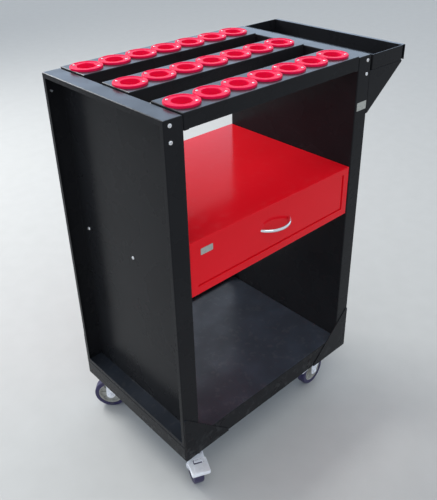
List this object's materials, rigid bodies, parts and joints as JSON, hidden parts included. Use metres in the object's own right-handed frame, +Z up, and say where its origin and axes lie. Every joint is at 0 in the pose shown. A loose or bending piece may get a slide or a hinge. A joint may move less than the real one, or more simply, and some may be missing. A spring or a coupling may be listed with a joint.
{
  "type": "tool holder trolley",
  "caption": "Workshop trolley with rails of taper tool-holder sockets, a drawer cabinet, an open shelf, a side tray and swivel casters.",
  "frame": {"origin": "on the floor, in the middle of the whole trolley's footprint, tray and pedals included", "axes": "+X to the side that carries the tray, +Y from the drawer front to the back, +Z up"},
  "size_m": [0.814, 0.5092, 1.0763],
  "materials": {
    "frame_black": "semi-gloss black powder coat with fine orange peel",
    "drawer_red": "gloss red paint",
    "socket_red": "gloss moulded plastic",
    "bright_screw": "bright zinc plate",
    "slide_steel": "zinc-plated rolled steel",
    "chrome": "polished chrome",
    "plate_grey": "satin, blank",
    "zinc": "blue-white zinc plate",
    "hub_grey": "satin moulded nylon",
    "tyre_navy": "smooth satin rubber"
  },
  "bodies": {
    "trolley": {"left_side_panel": "frame_black", "right_side_panel": "frame_black", "left_base_channel": "frame_black", "right_base_channel": "frame_black", "bottom_shelf": "frame_black", "corner_gussets": "frame_black", "front_rail": "frame_black", "middle_rail": "frame_black", "rear_rail": "frame_black", "runner_brackets": "frame_black", "side_tray": "frame_black", "tray_edge": "frame_black", "tray_brackets": "frame_black", "caster_pads": "frame_black", "cabinet_shell": "drawer_red", "front_sockets": "socket_red", "middle_sockets": "socket_red", "rear_sockets": "socket_red", "rail_screws": "bright_screw", "post_screws": "bright_screw", "web_screws": "bright_screw", "socket_screws": "bright_screw", "tray_bolts": "bright_screw", "caster_bolts": "bright_screw", "cabinet_runners": "slide_steel", "post_label_plate": "plate_grey", "caster_plates": "zinc", "caster_races": "zinc", "kingpins": "zinc"},
    "drawer": {"drawer_box": "frame_black", "drawer_front": "drawer_red", "drawer_handle": "chrome", "handle_screws": "bright_screw", "drawer_label_plate": "plate_grey", "drawer_runners": "slide_steel"},
    "slide_middles": {"middle_runners": "slide_steel", "runner_balls": "slide_steel"},
    "front_left_caster": {"front_left_fork": "zinc", "front_left_axle": "zinc", "pedal_pins_left": "zinc"},
    "front_left_wheel": {"front_left_hub": "hub_grey", "front_left_tyre": "tyre_navy"},
    "front_left_brake": {"front_left_pedal": "zinc"},
    "front_right_caster": {"front_right_fork": "zinc", "front_right_axle": "zinc", "pedal_pins_right": "zinc"},
    "front_right_wheel": {"front_right_hub": "hub_grey", "front_right_tyre": "tyre_navy"},
    "front_right_brake": {"front_right_pedal": "zinc"},
    "rear_left_caster": {"rear_left_fork": "zinc", "rear_left_axle": "zinc"},
    "rear_left_wheel": {"rear_left_hub": "hub_grey", "rear_left_tyre": "tyre_navy"},
    "rear_right_caster": {"rear_right_fork": "zinc", "rear_right_axle": "zinc"},
    "rear_right_wheel": {"rear_right_hub": "hub_grey", "rear_right_tyre": "tyre_navy"}
  },
  "joints": [
    {"name": "drawer_slide", "type": "slide", "parent": "trolley", "child": "drawer", "axis": [0, -1, 0], "range_m": [0, 0.38]},
    {"name": "slide_middles_travel", "type": "slide", "parent": "trolley", "child": "slide_middles", "axis": [0, -1, 0], "range_m": [0, 0.19]},
    {"name": "front_left_swivel", "type": "hinge", "parent": "trolley", "child": "front_left_caster", "pos_m": [-0.341, -0.14935, 0.131], "axis": [0, 0, 1], "continuous": true},
    {"name": "front_left_roll", "type": "hinge", "parent": "front_left_caster", "child": "front_left_wheel", "pos_m": [-0.35335, -0.17669, 0.05], "axis": [0.9114, -0.4115, 0], "continuous": true},
    {"name": "front_left_brake_tilt", "type": "hinge", "parent": "front_left_caster", "child": "front_left_brake", "pos_m": [-0.35335, -0.17669, 0.104], "axis": [0.9114, -0.4115, 0], "range_deg": [0, 4]},
    {"name": "front_right_swivel", "type": "hinge", "parent": "trolley", "child": "front_right_caster", "pos_m": [0.189, -0.14935, 0.131], "axis": [0, 0, 1], "continuous": true},
    {"name": "front_right_roll", "type": "hinge", "parent": "front_right_caster", "child": "front_right_wheel", "pos_m": [0.15911, -0.15196, 0.05], "axis": [0.0872, -0.9962, 0], "continuous": true},
    {"name": "front_right_brake_tilt", "type": "hinge", "parent": "front_right_caster", "child": "front_right_brake", "pos_m": [0.15911, -0.15196, 0.104], "axis": [0.0872, -0.9962, 0], "range_deg": [0, 4]},
    {"name": "rear_left_swivel", "type": "hinge", "parent": "trolley", "child": "rear_left_caster", "pos_m": [-0.341, 0.19065, 0.131], "axis": [0, 0, 1], "continuous": true},
    {"name": "rear_left_roll", "type": "hinge", "parent": "rear_left_caster", "child": "rear_left_wheel", "pos_m": [-0.36258, 0.21149, 0.05], "axis": [-0.6947, -0.7193, 0], "continuous": true},
    {"name": "rear_right_swivel", "type": "hinge", "parent": "trolley", "child": "rear_right_caster", "pos_m": [0.189, 0.19065, 0.131], "axis": [0, 0, 1], "continuous": true},
    {"name": "rear_right_roll", "type": "hinge", "parent": "rear_right_caster", "child": "rear_right_wheel", "pos_m": [0.16536, 0.20912, 0.05], "axis": [-0.6157, -0.788, 0], "continuous": true}
  ],
  "couplings": [
    {"joint": "slide_middles_travel", "follows": "drawer_slide", "ratio": 0.5}
  ]
}
